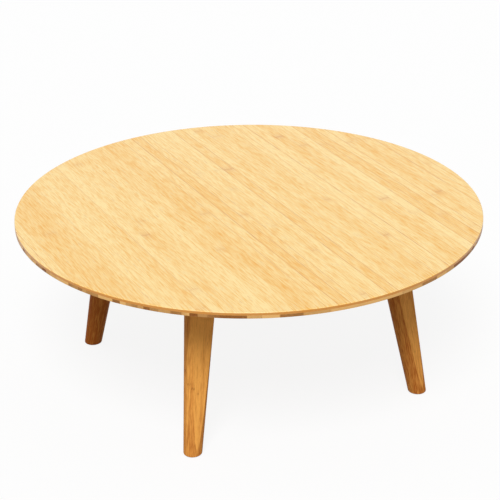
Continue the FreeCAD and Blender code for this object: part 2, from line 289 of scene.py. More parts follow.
def cut_round(piece, radius, start, end, columns=48):
    """Cuts a round hole through a piece between two level points, with a closed tube as cutter.

    A point of the tube is an end point + radius (side cos t + other sin t), where side and other
    are square to the tube and to each other.
    """
    along = (end - start) / np.linalg.norm(end - start)
    side = np.cross(along, [0.0, 0.0, 1.0])
    side /= np.linalg.norm(side)
    other = np.cross(along, side)
    t = np.linspace(0, 2 * np.pi, columns, endpoint=False)[:, None]
    circle = radius * (np.cos(t) * side + np.sin(t) * other)
    points, faces = closed_rings(np.array([start + circle, end + circle]), start, end)
    cutter = write_mesh("cutter", points, faces)
    cut = piece.modifiers.new("Hole", "BOOLEAN")
    cut.object, cut.solver, cut.operation = cutter, "EXACT", "DIFFERENCE"
    whole = piece.evaluated_get(bpy.context.evaluated_depsgraph_get())
    mesh = bpy.data.meshes.new_from_object(whole)
    piece.modifiers.clear()
    piece.data = mesh
    bpy.data.objects.remove(cutter)


# Nodes


def wire(tree, node, inputs):
    """Sets or links a node's inputs by name or number, a node standing for its first output."""
    for key, value in inputs.items():
        if isinstance(key, int):
            socket = node.inputs[key]
        else:
            socket = next(s for s in node.inputs if s.name == key and s.enabled)
        if isinstance(value, bpy.types.Node):
            value = next(s for s in value.outputs if s.enabled)
        if isinstance(value, bpy.types.NodeSocket):
            tree.links.new(value, socket)
        else:
            socket.default_value = value


def add(tree, kind, inputs=None, **settings):
    """Adds a node with its settings and inputs."""
    made = tree.nodes.new("ShaderNode" + kind)
    for key, value in settings.items():
        setattr(made, key, value)
    wire(tree, made, inputs or {})
    return made


def finish_named(name, tint, **sockets):
    """A new material and its surface shader, with plain values on the shader's own sockets."""
    material = bpy.data.materials.new(name)
    material.use_nodes = True
    material.diffuse_color = (*tint, 1)
    tree = material.node_tree
    shader = tree.nodes["Principled BSDF"]
    shader.inputs["Base Color"].default_value = (*tint, 1)
    for key, value in sockets.items():
        shader.inputs[key.replace("_", " ")].default_value = value
    return material, tree, shader


def bamboo_look(colours, wood, order, strip, seed, **changes):
    """Values of one bamboo finish, lengths in mm except the strip, which is in metres.

    Wood names its four colours, and order which coordinate runs across the strips, in depth and
    along them.
    """
    light, dark, ring, line = (
        tuple(getattr(colours, wood + "_" + part)) for part in ("light", "dark", "ring", "line")
    )
    values = {
        "order": order,
        "seed": seed,
        "light": light,
        "dark": dark,
        "ring_colour": ring,
        "line_colour": line,
        # Strips: mean width, waves of an edge in each strip and how many strips they move it,
        # layers in each mm of depth and where the first one starts
        "strip": strip / mm,
        "wave": 0.16,
        "shift": 3.0,
        "layer": 0.0,
        "layer_start": 0.37,
        # Fibres: width, length, and how many lengths apart two strips may lie in the pattern
        "fibre": 1.4,
        "fibre_length": 70.0,
        "fibre_apart": 40.0,
        # Flecks in the colour of the glue lines, which come in where the fibres pass a level
        "fleck_from": 0.62,
        "fleck_to": 0.74,
        "fleck_strength": 0.0,
        # Cane rings: spacing, how many spacings apart two strips may lie, half width, jags, how
        # rare strong ones are, their strength, and the halo's width in rings and its strength
        "spacing": 290.0,
        "ring_apart": 9.0,
        "ring": 3.0,
        "ring_jag": 9.0,
        "ring_rarity": 3.0,
        "ring_strength": 0.8,
        "halo": 4,
        "halo_strength": 0.45,
        # Glue lines: half width, how rare strong ones are, and their strength
        "line": 0.7,
        "line_rarity": 1.6,
        "line_strength": 0.7,
        # Tone from dark (0) to light (1): where it starts, what strips, clouds and fibres add,
        # the size of the clouds, and whether the mesh's painted light and shade is added
        "tone": -0.45,
        "strip_tone": 0.5,
        "cloud_tone": 0.5,
        "cloud": (70.0, 70.0, 220.0),
        "fibre_tone": 0.9,
        "own_tone": False,
        # The cut edge: radius, colour, where it comes in inside that radius, and its strength
        "rim": None,
        "rim_colour": None,
        "rim_from": 0.25,
        "rim_to": 0.05,
        "rim_strength": 0.85,
        # Lacquer: roughness and how much the fibres change it, coat, and specular level
        "roughness": 0.4,
        "uneven_gloss": 0.06,
        "coat": 0.2,
        "level": 0.5,
    }
    values.update(changes)
    return SimpleNamespace(**values)


# The hidden sides are only oiled, so they are duller than the lacquered face
oiled = {"roughness": 0.55, "coat": 0.0, "level": 0.3}


def laminated_bamboo(name, look, place=None):
    """Lacquered bamboo strips glued side by side.

    Split bamboo gives straight strips, each of its own tone, with a thin dark glue line between
    two of them, long fibres, and a faint brown ring across each strip wherever the cane had a
    node. The pattern lies on Object coordinates, or on the attribute that place names.
    """
    material, tree, shader = finish_named(
        name,
        look.light,
        Roughness=look.roughness,
        IOR=1.5,
        Specular_IOR_Level=look.level,
        Coat_Weight=look.coat,
        Coat_Roughness=0.16,
    )
    if place:
        source = add(tree, "Attribute", attribute_name=place).outputs["Vector"]
    else:
        source = add(tree, "TexCoord").outputs["Object"]
    scaled = add(tree, "VectorMath", {0: source, "Scale": 1 / mm}, operation="SCALE")
    parts = add(tree, "SeparateXYZ", {0: scaled})
    across, depth, along = (parts.outputs[k] for k in look.order)

    # Strips of uneven width: a slow wave moves their edges, and each gets three random numbers
    wave = add(
        tree,
        "TexNoise",
        {"W": across, "Scale": look.wave / look.strip, "Detail": 1.0},
        noise_dimensions="1D",
    )
    shift = look.shift * look.strip
    moved = add(tree, "Math", {0: wave, 1: shift, 2: across}, operation="MULTIPLY_ADD")
    strips = add(tree, "Math", {0: moved, 1: look.strip}, operation="DIVIDE")
    number = add(tree, "Math", {0: strips}, operation="FLOOR")
    share = add(tree, "Math", {0: strips}, operation="FRACT")
    layers = add(
        tree, "Math", {0: depth, 1: look.layer, 2: look.layer_start}, operation="MULTIPLY_ADD"
    )
    layer = add(tree, "Math", {0: layers}, operation="FLOOR")
    cell = add(tree, "CombineXYZ", {0: number, 1: layer, 2: look.seed})
    chance = add(tree, "TexWhiteNoise", {"Vector": cell}, noise_dimensions="3D")
    dice = add(tree, "SeparateXYZ", {0: chance.outputs["Color"]})

    # Long fibres, which start anew in each strip. Real ones are under half a mm wide and are
    # drawn coarser to show.
    fineness = 1 / look.fibre
    fibre_x = add(tree, "Math", {0: across, 1: fineness, 2: number}, operation="MULTIPLY_ADD")
    fibre_y = add(tree, "Math", {0: depth, 1: fineness, 2: look.seed}, operation="MULTIPLY_ADD")
    start = add(tree, "Math", {0: dice.outputs[1], 1: look.fibre_apart}, operation="MULTIPLY")
    fibre_z = add(
        tree, "Math", {0: along, 1: 1 / look.fibre_length, 2: start}, operation="MULTIPLY_ADD"
    )
    fibre_place = add(tree, "CombineXYZ", {0: fibre_x, 1: fibre_y, 2: fibre_z})
    fibre = add(
        tree, "TexNoise", {"Vector": fibre_place, "Scale": 1.0, "Detail": 3.0, "Roughness": 0.6}
    )
    fleck_look = add(
        tree,
        "MapRange",
        {
            "Value": fibre,
            "From Min": look.fleck_from,
            "From Max": look.fleck_to,
            "To Max": look.fleck_strength,
        },
    )

    # Nodes of the cane: one ring in each strip about every spacing, ragged and of uneven strength
    phase = add(tree, "Math", {0: dice.outputs[2], 1: look.ring_apart}, operation="MULTIPLY")
    ring_run = add(
        tree, "Math", {0: along, 1: 1 / look.spacing, 2: phase}, operation="MULTIPLY_ADD"
    )
    ring_number = add(tree, "Math", {0: ring_run}, operation="FLOOR")
    ring_share = add(tree, "Math", {0: ring_run}, operation="FRACT")
    ragged_place = add(tree, "CombineXYZ", {0: fibre_x, 1: fibre_y, 2: ring_run})
    ragged = add(tree, "TexNoise", {"Vector": ragged_place, "Scale": 0.7, "Detail": 2.0})
    jag = look.ring_jag / look.spacing
    centred = add(tree, "Math", {0: ring_share, 1: -0.5 - jag / 2}, operation="ADD")
    bent = add(tree, "Math", {0: ragged, 1: jag, 2: centred}, operation="MULTIPLY_ADD")
    away = add(tree, "Math", {0: bent}, operation="ABSOLUTE")
    width = look.ring / look.spacing
    ring, halo = (
        add(
            tree,
            "MapRange",
            {"Value": away, "From Max": reach, "To Min": strength, "To Max": 0.0},
            interpolation_type="SMOOTHERSTEP",
        )
        for reach, strength in ((width, 1.0), (look.halo * width, look.halo_strength))
    )
    ring_cell = add(tree, "CombineXYZ", {0: number, 1: ring_number, 2: look.seed + 3.5})
    ring_chance = add(tree, "TexWhiteNoise", {"Vector": ring_cell}, noise_dimensions="3D")
    ring_power = add(tree, "Math", {0: ring_chance, 1: look.ring_rarity}, operation="POWER")
    both = add(tree, "Math", {0: ring, 1: halo}, operation="MAXIMUM")
    mark = add(tree, "Math", {0: both, 1: ring_power}, operation="MULTIPLY")
    ring_look = add(
        tree, "Math", {0: mark, 1: look.ring_strength}, operation="MULTIPLY", use_clamp=True
    )

    # Glue lines between the strips, which fade in and out along them, some of them hardly seen
    off_middle = add(tree, "Math", {0: share, 1: 0.5}, operation="SUBTRACT")
    from_middle = add(tree, "Math", {0: off_middle}, operation="ABSOLUTE")
    line = add(
        tree,
        "MapRange",
        {"Value": from_middle, "From Min": 0.5 - look.line / look.strip, "From Max": 0.5},
        interpolation_type="SMOOTHSTEP",
    )
    line_number = add(tree, "Math", {0: strips}, operation="ROUND")
    line_cell = add(tree, "CombineXYZ", {0: line_number, 1: layer, 2: look.seed + 7.5})
    line_chance = add(tree, "TexWhiteNoise", {"Vector": line_cell}, noise_dimensions="3D")
    line_power = add(tree, "Math", {0: line_chance, 1: look.line_rarity}, operation="POWER")
    line_part = add(
        tree, "MapRange", {"Value": fibre, "From Min": 0.36, "From Max": 0.6, "To Max": 1.4}
    )
    line_faded = add(tree, "Math", {0: line_power, 1: line_part}, operation="MULTIPLY")
    line_seen = add(
        tree, "Math", {0: line, 1: line_faded}, operation="MULTIPLY", use_clamp=True
    )
    line_look = add(
        tree, "Math", {0: line_seen, 1: look.line_strength}, operation="MULTIPLY", use_clamp=True
    )

    # Tone: the strip's own, slow clouds over the board, the leg's painted light and shade, and
    # the fibres
    board = add(tree, "CombineXYZ", {0: across, 1: depth, 2: along})
    spread = tuple(1 / length for length in look.cloud)
    cloud_place = add(tree, "VectorMath", {0: board, 1: spread}, operation="MULTIPLY")
    cloud = add(tree, "TexNoise", {"Vector": cloud_place, "Scale": 1.0, "Detail": 2.0})
    tone = add(
        tree,
        "Math",
        {0: dice.outputs[0], 1: look.strip_tone, 2: look.tone},
        operation="MULTIPLY_ADD",
    )
    tone = add(tree, "Math", {0: cloud, 1: look.cloud_tone, 2: tone}, operation="MULTIPLY_ADD")
    # The mesh's attribute adds painted light and shade: a tone for each leg and a paler flat
    if look.own_tone:
        own_tone = add(tree, "Attribute", attribute_name="own_tone").outputs["Fac"]
        tone = add(tree, "Math", {0: own_tone, 1: tone}, operation="ADD")
    tone = add(
        tree,
        "Math",
        {0: fibre, 1: look.fibre_tone, 2: tone},
        operation="MULTIPLY_ADD",
        use_clamp=True,
    )

    # Colour: from dark to light by the tone, then stained by rings, lines and flecks
    stains = [
        (ring_look, look.ring_colour),
        (line_look, look.line_colour),
        (fleck_look, look.line_colour),
    ]
    if look.rim:
        # The cut edge soaks up more lacquer and is deeper
        flat = add(tree, "VectorMath", {0: scaled, 1: (1, 1, 0)}, operation="MULTIPLY")
        out = add(tree, "VectorMath", {0: flat}, operation="LENGTH").outputs["Value"]
        rim_look = add(
            tree,
            "MapRange",
            {
                "Value": out,
                "From Min": look.rim - look.rim_from,
                "From Max": look.rim - look.rim_to,
                "To Max": look.rim_strength,
            },
        )
        stains.append((rim_look, look.rim_colour))
    hue = (*look.dark, 1)
    for strength, stain in [(tone, look.light), *stains]:
        hue = add(
            tree, "Mix", {"Factor": strength, "A": hue, "B": (*stain, 1)}, data_type="RGBA"
        )

    # Satin lacquer: a little duller on the fibres, and the glue lines sunk by a tenth of a mm
    gloss = add(
        tree,
        "MapRange",
        {
            "Value": fibre,
            "To Min": look.roughness - look.uneven_gloss,
            "To Max": look.roughness + look.uneven_gloss,
        },
    )
    height = add(tree, "Math", {0: line_seen, 1: -1.0, 2: fibre}, operation="MULTIPLY_ADD")
    bump = add(tree, "Bump", {"Height": height, "Strength": 0.3, "Distance": 0.1 * mm})
    wire(tree, shader, {"Base Color": hue, "Roughness": gloss, "Normal": bump})
    return material


def rolled_steel(name, tint, roughness, grain, seed):
    """Sheet or turned steel under a thin plating or oxide.

    Plating follows the rolling lines of the sheet, so the eye gets a bright grey metal with fine
    streaks and cloudy patches of shine. The grain is the spacing of the streaks in mm along X, Y
    and Z, drawn coarser than real rolling lines so that they show.
    """
    material, tree, shader = finish_named(name, tint, Metallic=1.0, Roughness=roughness)
    source = add(tree, "TexCoord").outputs["Object"]
    scale = tuple(1 / mm / spacing for spacing in grain)
    placed = add(
        tree, "VectorMath", {0: source, 1: scale, 2: (seed, seed, seed)}, operation="MULTIPLY_ADD"
    )
    streak = add(
        tree, "TexNoise", {"Vector": placed, "Scale": 1.0, "Detail": 3.0, "Roughness": 0.6}
    )
    patch = add(tree, "TexNoise", {"Vector": source, "Scale": 1 / (14 * mm), "Detail": 2.0})
    both = add(tree, "Math", {0: streak, 1: patch}, operation="ADD")
    span = {"Value": both, "From Min": 0.6, "From Max": 1.4}
    tone = add(tree, "MapRange", {**span, "To Min": 0.78, "To Max": 1.08})
    hue = add(tree, "VectorMath", {0: tint, "Scale": tone}, operation="SCALE")
    dull, bright = roughness + 0.1, roughness - 0.06
    gloss = add(tree, "MapRange", {**span, "To Min": dull, "To Max": bright})
    bump = add(tree, "Bump", {"Height": streak, "Strength": 0.2, "Distance": 0.03 * mm})
    wire(tree, shader, {"Base Color": hue, "Roughness": gloss, "Normal": bump})
    return material


def tinted_plating(material, tint, patch):
    """Adds a second tint in patches of a width in mm, as yellow zinc and blued steel show."""
    tree = material.node_tree
    shader = tree.nodes["Principled BSDF"]
    plain = shader.inputs["Base Color"].links[0].from_socket
    source = add(tree, "TexCoord").outputs["Object"]
    cloud = add(
        tree,
        "TexNoise",
        {"Vector": source, "Scale": 1 / mm / patch, "Detail": 2.0, "Distortion": 0.6},
    )
    where = add(
        tree, "MapRange", {"Value": cloud, "From Min": 0.42, "From Max": 0.66, "To Max": 0.6}
    )
    hue = add(tree, "Mix", {"Factor": where, "A": plain, "B": (*tint, 1)}, data_type="RGBA")
    wire(tree, shader, {"Base Color": hue})


def turned_nylon(name, tint):
    """Natural nylon, turned from rod: a milky plastic with a dull, slightly uneven shine."""
    material, tree, shader = finish_named(
        name, tint, Roughness=0.45, IOR=1.53, Subsurface_Weight=0.2, Subsurface_Scale=2 * mm
    )
    source = add(tree, "TexCoord").outputs["Object"]
    cloud = add(tree, "TexNoise", {"Vector": source, "Scale": 1 / (3 * mm), "Detail": 3.0})
    tone = add(tree, "MapRange", {"Value": cloud, "To Min": 0.88, "To Max": 1.0})
    hue = add(tree, "VectorMath", {0: tint, "Scale": tone}, operation="SCALE")
    gloss = add(tree, "MapRange", {"Value": cloud, "To Min": 0.38, "To Max": 0.55})
    wire(tree, shader, {"Base Color": hue, "Roughness": gloss})
    return material


def pressed_felt(name, tint):
    """Pressed wool felt: matt, with short fibres lying every way.

    Wool is a few hundredths of a mm thick and is drawn 0.7 mm wide so that it shows.
    """
    material, tree, shader = finish_named(
        name, tint, Roughness=0.95, Sheen_Weight=0.35, Sheen_Roughness=0.5
    )
    source = add(tree, "TexCoord").outputs["Object"]
    wool = add(
        tree,
        "TexNoise",
        {"Vector": source, "Scale": 1 / (0.7 * mm), "Detail": 4.0, "Distortion": 1.2},
    )
    tone = add(
        tree,
        "MapRange",
        {"Value": wool, "From Min": 0.3, "From Max": 0.7, "To Min": 0.6, "To Max": 1.3},
    )
    hue = add(tree, "VectorMath", {0: tint, "Scale": tone}, operation="SCALE")
    bump = add(tree, "Bump", {"Height": wool, "Strength": 0.8, "Distance": 0.3 * mm})
    wire(tree, shader, {"Base Color": hue, "Normal": bump})
    return material


def at_corners(*stems):
    """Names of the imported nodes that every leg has."""
    return [stem + "_" + corner for stem in stems for corner in corners]


def dress(material, *nodes):
    """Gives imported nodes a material."""
    for name in nodes:
        slots = frame["nodes"][name].data.materials
        slots.clear()
        slots.append(material)


# Legs

# Each leg gets a tone of its own that is painted light and shade: lighter on the front left leg,
# which the key lights, and darker on the legs in the top's shadow, most of all the back left one.
# The flat gets a paler tone, painted light that stands in for the light falling on it. That paler
# tone starts a little inside the flat's depth and comes in over a short way.
painted_light_by_leg = {"front_left": 0.16, "front_right": -0.04, "back_right": -0.04, "back_left": -0.34}
painted_flat_light = 0.46
flat_near, flat_fade = 0.25 * mm, 0.2 * mm

# How far from one another the legs were cut from the wood, in metres
cut_apart = np.array([0.31, 0.17, 0.77])

# Rows of the leg's skin: inside the sole, round its edge, up the leg, up the head, and inside
# the head's top, where the shares are of the way from the middle to the edge
sole_shares = (0.3, 0.6, 0.85)
edge_rows, leg_rows, head_rows = 13, 91, 31
top_shares = (0.97, 0.9, 0.8, 0.65, 0.5, 0.35, 0.18)
# The middle of the head's top, in flat depths from the pin towards the flat
top_middle = 0.3
# Power of the mean that softens the leg's corners, by about a tenth of a mm
sharpness = 240
# Rounds after which the head's top and its outline agree
top_rounds = 16
# Half the length of the tube that cuts the pin hole, in widths of the head
cutter_reach = 1.2


def leg_frame(s, joint, side_x, side_y, under):
    """A leg's axis in the frame of its bracket, and what carries that frame to the table's.

    The frame has x along the pin h, y inward along Z x h, and z up, from the joint's point. The
    axis starts at the foot and moves by the slope for each metre up. The flat faces the normal.
    """
    h = np.array(joint["axis"], float)
    h /= np.linalg.norm(h)
    up = np.array([0.0, 0.0, 1.0])
    turn = np.stack([h, np.cross(up, h), up])
    origin = np.array(joint["pos_m"], float)
    foot = turn @ (np.array([side_x * s.foot_reach, side_y * s.foot_reach, 0]) - origin)
    head = turn @ (np.array([side_x * s.head_reach, side_y * s.head_reach, under]) - origin)
    slope = (head - foot) / (head - foot)[2]
    normal = np.array([0.0, -1.0, slope[1]]) / math.hypot(1.0, slope[1])
    return SimpleNamespace(turn=turn, origin=origin, foot=foot, slope=slope, normal=normal)


def leg_rings(s, leg, sole, under, columns=384):
    """Rings of a leg's skin in its bracket's frame, and the points that close it below and above.

    At each height the leg's axis passes at the point (ax, ay). In the direction e at the angle t,
    the cone is reached at the distance r / (sqrt(1 - (e.d)^2) - k e.d), where d is the unit
    vector up the axis, r the radius there and k how fast it grows. The flat is reached at flat
    depth / (e.n), n being its normal, and a cheek at its distance from the axis over |e.x|. The
    skin lies at the softened least of these, a high power mean of their inverses.
    """
    d = leg.slope / np.linalg.norm(leg.slope)
    widen = (s.head_radius - s.foot_radius) / under
    k = widen * d[2]
    t = np.linspace(0, 2 * np.pi, columns, endpoint=False)
    ex, ey = np.cos(t), np.sin(t)
    ed, en = ex * d[0] + ey * d[1], ey * leg.normal[1]

    def middle(z):
        """The axis's x and y at the heights z."""
        return [leg.foot[i] + leg.slope[i] * (z - leg.foot[2]) for i in (0, 1)]

    def skin(z, cheeks=False):
        """Distance from the axis to the skin at the heights z, with or without cheeks."""
        r = s.foot_radius + widen * (z - leg.foot[2])
        inverse = [(np.sqrt(1 - ed**2) - k * ed) / r, np.maximum(en, 0) / s.flat_depth]
        if cheeks:
            inverse.append(np.abs(ex) / (s.head_width / 2 - np.sign(ex) * middle(z)[0]))
        largest = np.max(inverse, axis=0)
        return np.sum((inverse / largest) ** sharpness, axis=0) ** (-1 / sharpness) / largest

    def ring(z, rho):
        """Points at the heights z and the distances rho from the axis."""
        ax, ay = middle(z)
        return np.stack([ax + rho * ex, ay + rho * ey, z + 0 * t], axis=-1)

    def cap(y):
        """Height of the head's top at y: level outside the pin, and round about it inside."""
        inner = np.sqrt(np.maximum(s.swing_radius**2 - np.maximum(y, 0) ** 2, 0))
        return np.where(y > 0, inner, s.head_drop)

    sole = sole - leg.origin[2]
    shoulder = s.head_drop - s.head_length
    rings = [ring(sole, share * (skin(sole) - s.foot_round)) for share in sole_shares]
    for bend in np.radians(np.linspace(0, 90, edge_rows)):
        z = sole + s.foot_round * (1 - np.cos(bend))
        rings.append(ring(z, skin(z) - s.foot_round * (1 - np.sin(bend))))
    for z in np.linspace(sole + s.foot_round, shoulder, leg_rows)[1:]:
        rings.append(ring(z, skin(z)))
    rings.append(ring(shoulder, skin(shoulder, cheeks=True)))

    top = np.full(columns, s.head_drop)
    for _ in range(top_rounds):
        top = cap(middle(top)[1] + skin(top, cheeks=True) * ey)
    for share in np.linspace(0, 1, head_rows)[1:]:
        z = shoulder + share * (top - shoulder)
        rings.append(ring(z, skin(z, cheeks=True)))
    edge = rings[-1]
    high = np.array([middle(s.head_drop)[0], -top_middle * s.flat_depth, s.head_drop])
    for share in top_shares:
        row = high + share * (edge - high)
        row[:, 2] = cap(row[:, 1])
        rings.append(row)
    low = leg.foot + leg.slope * (sole - leg.foot[2])
    return np.array(rings), low, high


def mark_wood_and_painted_light(mesh, s, leg, corner, number):
    """Writes each point's place in the leg's wood, whose grain runs along the axis, and its
    painted light and shade.

    The place is the offset from the axis at the point's height, and that height. The tone is
    painted light and
    shade: a share for each leg by how the light reaches it, and a paler flat for the light that
    falls on it.
    """
    co = np.zeros(3 * len(mesh.vertices), np.float32)
    mesh.vertices.foreach_get("co", co)
    place = (co.reshape(-1, 3) - leg.origin) @ leg.turn.T
    place[:, :2] -= leg.foot[:2] + leg.slope[:2] * (place[:, 2:] - leg.foot[2])
    out = place[:, 1] * leg.normal[1]
    # Painted light: the flat is made paler, standing in for the light that falls on it
    painted_flat_mask = np.clip((out - s.flat_depth + flat_near) / flat_fade, 0, 1)
    # Painted light and shade: each leg's share of light or shadow, plus the paler flat
    tone = painted_flat_light * painted_flat_mask + painted_light_by_leg[corner]
    own_tone = mesh.attributes.new("own_tone", "FLOAT", "POINT")
    own_tone.data.foreach_set("value", tone.astype(np.float32))
    place += cut_apart * number
    grain = mesh.attributes.new("grain_place", "FLOAT_VECTOR", "POINT")
    grain.data.foreach_set("vector", place.astype(np.float32).ravel())


# Stage

# The picture is as wide as it is high, and shows the middle of the top at this pixel
picture_side = 500
top_pixel = (249.17, 206.0)

# Share of plain white in the floor that the camera sees, and how much light the floor sends back
floor_white = 0.88
floor_bounce = 0.32


def seen_ray(tree):
    """1 for what the camera sees straight, mirrored or through glass, 0 for any other light."""
    rays = add(tree, "LightPath")
    seen = rays.outputs["Is Camera Ray"]
    for kind in ("Is Glossy Ray", "Is Transmission Ray"):
        seen = add(tree, "Math", {0: seen, 1: rays.outputs[kind]}, operation="MAXIMUM")
    return seen


def lay_floor(s):
    """A matt floor, nearly white to the camera, dull to other light and clear from below."""
    half = s.floor_size / 2
    square = np.array([(-half, -half, 0), (half, -half, 0), (half, half, 0), (-half, half, 0)])
    floor = write_mesh("floor", square, [np.array([[0, 1, 2, 3]])])
    material, tree, paint = finish_named(
        "Floor, matt white", tuple(s.floor), Roughness=0.9, Specular_IOR_Level=0.0
    )
    white = add(tree, "Emission", {"Color": (1, 1, 1, 1), "Strength": 1.0})
    lit = add(tree, "MixShader", {0: floor_white, 1: paint, 2: white})
    dull = add(tree, "BsdfDiffuse", {"Color": (floor_bounce, floor_bounce, floor_bounce, 1)})
    front = add(tree, "MixShader", {0: seen_ray(tree), 1: dull, 2: lit})
    below = add(tree, "NewGeometry").outputs["Backfacing"]
    clear = add(tree, "BsdfTransparent")
    whole = add(tree, "MixShader", {0: below, 1: front, 2: clear})
    wire(tree, tree.nodes["Material Output"], {"Surface": whole})
    floor.data.materials.append(material)


def light_room(scene, s):
    """A plain room, white to the camera, and a wide key light from the front left."""
    world = bpy.data.worlds.new("Studio")
    world.use_nodes = True
    tree = world.node_tree
    room = add(tree, "Background", {"Color": (1, 1, 1, 1), "Strength": s.ambient})
    white = add(tree, "Background", {"Color": (1, 1, 1, 1), "Strength": 1.0})
    both = add(tree, "MixShader", {0: seen_ray(tree), 1: room, 2: white})
    wire(tree, tree.nodes["World Output"], {"Surface": both})
    scene.world = world

    key = bpy.data.lights.new("Key", "SUN")
    key.energy = s.key
    key.angle = s.key_spread
    lamp = bpy.data.objects.new("Key", key)
    scene.collection.objects.link(lamp)
    level = math.cos(s.key_height)
    towards = Vector(
        (-math.sin(s.key_turn) * level, -math.cos(s.key_turn) * level, math.sin(s.key_height))
    )
    lamp.rotation_mode = "QUATERNION"
    lamp.rotation_quaternion = towards.to_track_quat("Z", "Y")


def turned(first, second, by):
    """Two square directions, turned by an angle from the first towards the second."""
    c, n = math.cos(by), math.sin(by)
    return c * first + n * second, c * second - n * first


def picture_matrix(s, top):
    """Place of the camera.

    It looks from the distance, elevation and turn at the middle of the top. That point shows
    beside the picture's middle, so the view is turned by the angles whose tangents are the
    pixel's offsets over the focal length, then rolled.
    """
    focal = picture_side * s.focal_share
    aside, below = (math.atan((pixel - picture_side / 2) / focal) for pixel in top_pixel)
    back = np.array([0, -math.cos(s.elevation), math.sin(s.elevation)])
    right = np.array([1.0, 0, 0])
    up, ahead = np.cross(back, right), -back
    right, ahead = turned(right, ahead, aside)
    up, ahead = turned(up, ahead, -below)
    right, up = turned(right, up, s.roll)
    whole = np.eye(4)
    whole[:3, :3] = np.stack([right, up, -ahead], axis=1)
    whole[:3, 3] = np.array([0, 0, top]) + back * s.distance
    return Matrix.Rotation(-s.turn, 4, "Z") @ Matrix(whole.tolist())


def place_camera(scene, s):
    """A camera at the view of the picture."""
    camera = bpy.data.cameras.new("Picture")
    camera.sensor_width = 36.0
    camera.lens = camera.sensor_width * s.focal_share
    camera.clip_end = 100.0
    eye = bpy.data.objects.new("Picture", camera)
    scene.collection.objects.link(eye)
    eye.matrix_world = picture_matrix(s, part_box("face_ply")[1].z)
    bpy.context.scene.camera = eye


# Operators


class TABLE_OT_plies(bpy.types.Operator):
    """Builds the three glued plies of the top, with fine strips, a rounded rim and a bevel"""

    bl_idname = "folding_table.plies"
    bl_label = "Top plies"

    def execute(self, context):
        s, c = context.scene.top_sizes, context.scene.table_colours
        r, g = s.radius, s.glue_groove
        base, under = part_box("back_ply")[0].z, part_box("core_ply")[0].z
        seam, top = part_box("face_ply")[0].z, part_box("face_ply")[1].z

        # Rows close to each corner, one or two grooves from it, keep the shading flat beside it
        side_top = top - s.rim_round
        face_edge = [(r - 2 * g, seam), (r - g, seam), (r, seam + g), (r, seam + 2 * g)]
        face_edge += [(r, (seam + side_top) / 2), (r, side_top - g)]
        face_edge += quarter(s.rim_round, r - s.rim_round, side_top)
        face_edge += [(r - 2 * s.rim_round, top)]

        core_edge = [(r - 2 * g, under), (r - g, under), (r, under + g), (r, under + 2 * g)]
        core_edge += [(r, (under + seam) / 2), (r, seam - 2 * g), (r, seam - g)]
        core_edge += [(r - g, seam), (r - 2 * g, seam)]

        # So do rows close to both ends of the bevel
        foot, rise, near = r - s.bevel_width, (under - base) / s.bevel_width, 4 * g
        back_edge = [(foot - near, base), (foot, base), (foot + near, base + near * rise)]
        back_edge += [((foot + r) / 2, (base + under) / 2), (r - near, under - near * rise)]
        back_edge += [(r - g, under - g * rise), (r - g, under)]

        face = bamboo_look(
            c, "face", order=(0, 2, 1), strip=s.face_strip, seed=1.0,
            fibre=2.4, fibre_length=32.0, fleck_from=0.6, fleck_to=0.72, fleck_strength=0.45,
            ring=6.0, ring_rarity=4.0, ring_strength=0.55, line=1.1, line_strength=0.8,
            strip_tone=0.35, cloud_tone=0.5, fibre_tone=2.4, tone=-0.93,
            rim=r / mm, rim_colour=tuple(c.rim),
        )
        core = bamboo_look(
            c, "core", order=(1, 2, 0), strip=s.core_strip, seed=2.0,
            strip_tone=1.3, cloud_tone=0.8, fibre_tone=0.5, tone=-0.66,
            roughness=0.5, coat=0.0, level=0.25,
        )
        back = bamboo_look(c, "back", order=(0, 2, 1), strip=s.back_strip, seed=3.0, **oiled)
        plies = {
            "face": ("Bamboo, lacquered face", ply_profile(seam, top, r, r, face_edge), face),
            "core": ("Bamboo, cut edge", ply_profile(under, seam, r, r, core_edge), core),
            "back": ("Bamboo, oiled back", ply_profile(base, under, foot, r, back_edge), back),
        }
        for kind, (finish, profile, look) in plies.items():
            piece = turned_disc("top_" + kind, profile, "bamboo_" + kind, kind + "_ply")
            piece.data.materials.append(laminated_bamboo(finish, look))
        return {"FINISHED"}


class TABLE_OT_battens(bpy.types.Operator):
    """Finishes the two battens under the top, whose strips run across the table"""

    bl_idname = "folding_table.battens"
    bl_label = "Battens"

    def execute(self, context):
        s, c = context.scene.top_sizes, context.scene.table_colours
        look = bamboo_look(c, "back", order=(1, 2, 0), strip=s.back_strip, seed=4.0, **oiled)
        dress(laminated_bamboo("Bamboo, planed batten", look), "batten_front", "batten_back")
        return {"FINISHED"}


